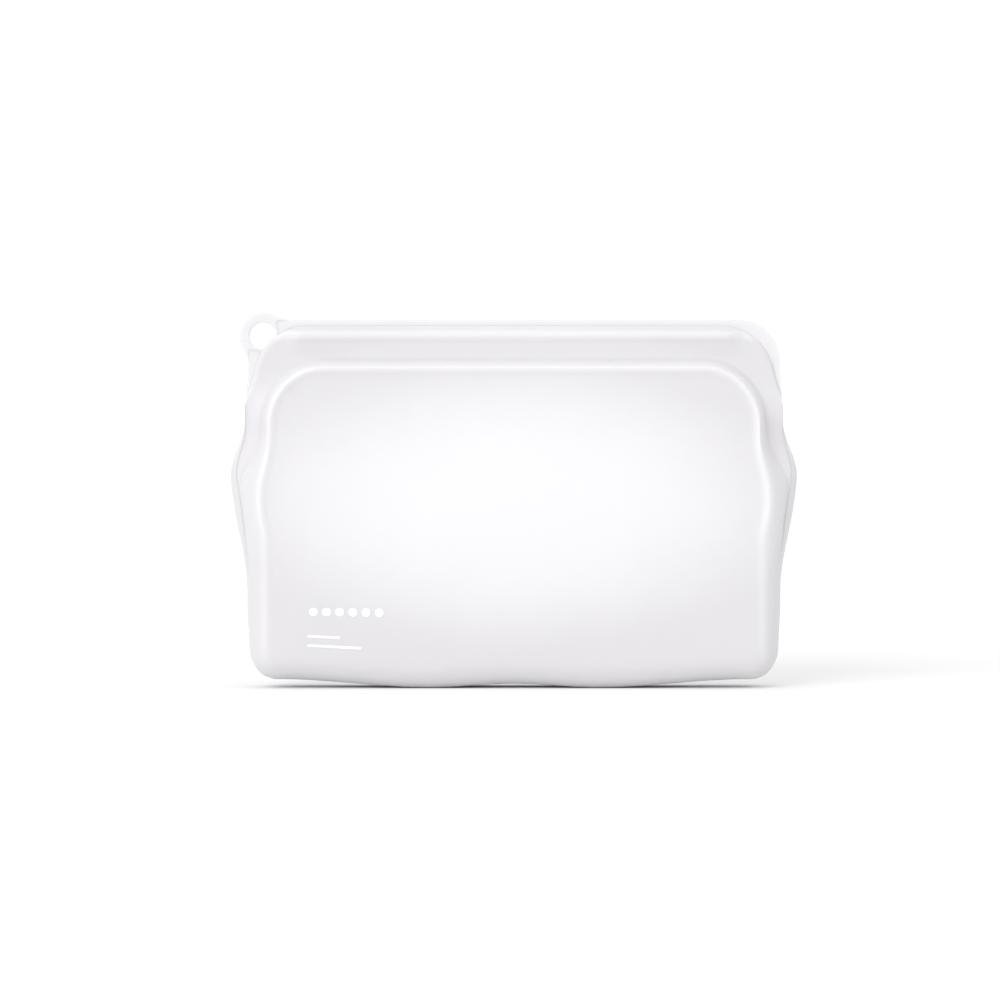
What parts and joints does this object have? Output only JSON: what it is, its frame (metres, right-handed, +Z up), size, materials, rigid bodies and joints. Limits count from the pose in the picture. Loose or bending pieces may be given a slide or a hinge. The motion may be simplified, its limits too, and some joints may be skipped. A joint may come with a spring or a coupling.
{
  "type": "reusable silicone food bag",
  "caption": "Frosted reusable silicone food bag with a pinch-seal mouth, raised pocket panel, flared side gussets, flat base and a corner hanging loop.",
  "frame": {"origin": "centre of the footprint, on the surface that the bag stands on", "axes": "+X to the bag's right seen from the front, +Z up, the front wall faces -Y"},
  "size_m": [0.19, 0.0272, 0.1266],
  "materials": {
    "silicone_body": "frosted translucent silicone, satin",
    "silicone_lip": "frosted translucent silicone, single thin layer",
    "silicone_seal": "frosted silicone, smoother where the seal rubs",
    "white_ink": "matte white silicone ink"
  },
  "bodies": {
    "pouch": {"base_panel": "silicone_body", "front_wall": "silicone_body", "back_wall": "silicone_body", "left_gusset": "silicone_body", "right_gusset": "silicone_body", "left_seam_corner": "silicone_lip", "right_seam_corner": "silicone_lip", "hanging_loop": "silicone_lip", "printed_mark": "white_ink"},
    "front_mouth": {"front_upper_wall": "silicone_body", "front_lip": "silicone_lip", "seal_rib": "silicone_seal"},
    "back_mouth": {"back_upper_wall": "silicone_body", "back_lip": "silicone_lip", "track_lower_rail": "silicone_seal", "track_upper_rail": "silicone_seal"}
  },
  "joints": [
    {"name": "front_lip_open", "type": "hinge", "parent": "pouch", "child": "front_mouth", "pos_m": [0, -0.0128, 0.0602], "axis": [1, 0, 0], "range_deg": [0, 18], "stiffness_Nm_per_rad": 0.03},
    {"name": "back_lip_open", "type": "hinge", "parent": "pouch", "child": "back_mouth", "pos_m": [0, 0.0128, 0.0602], "axis": [-1, 0, 0], "range_deg": [0, 18], "stiffness_Nm_per_rad": 0.03}
  ]
}
